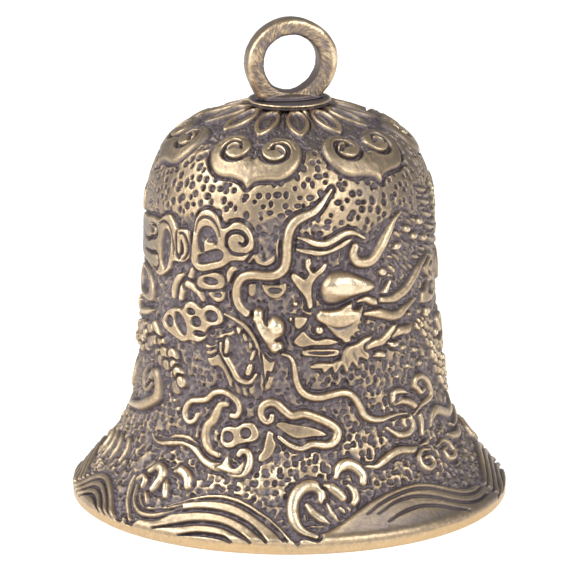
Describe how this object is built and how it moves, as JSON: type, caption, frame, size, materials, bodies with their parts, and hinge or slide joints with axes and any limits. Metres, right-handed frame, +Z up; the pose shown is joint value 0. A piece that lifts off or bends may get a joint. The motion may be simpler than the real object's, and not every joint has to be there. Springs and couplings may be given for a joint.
{
  "type": "temple bell",
  "caption": "Small cast brass temple bell with a flared mouth, relief shell, hanging eye and a free-swinging clapper inside.",
  "frame": {"origin": "centre of the mouth, on the plane of its rim", "axes": "+Z up the bell's axis towards the hanging eye, -Y out of the front with the dragon's head"},
  "size_m": [0.0424, 0.0424, 0.0471],
  "materials": {
    "shell_brass": "antiqued cast brass, dark in the recesses and rubbed bright on the relief",
    "collar_brass": "darkened brass with a bright worn edge",
    "eye_brass": "filed and rubbed bright brass",
    "hardware_steel": "plain nickel-plated steel",
    "wire_steel": "drawn steel wire",
    "clapper_brass": "turned brass, slightly tarnished"
  },
  "bodies": {
    "bell": {"bell_body": "shell_brass", "crown_collar": "collar_brass", "hanging_eye": "eye_brass", "crown_washer": "hardware_steel", "crown_nut": "hardware_steel", "clapper_staple": "eye_brass"},
    "link": {"clapper_link": "wire_steel"},
    "clapper": {"clapper_rod": "wire_steel", "clapper_ball": "clapper_brass"}
  },
  "joints": [
    {"name": "link_swing", "type": "hinge", "parent": "bell", "child": "link", "pos_m": [0, 0, 0.0298], "axis": [1, 0, 0], "range_deg": [-25, 25]},
    {"name": "clapper_swing", "type": "hinge", "parent": "link", "child": "clapper", "pos_m": [0, 0, 0.0268], "axis": [0, 1, 0], "range_deg": [-6, 6]}
  ]
}
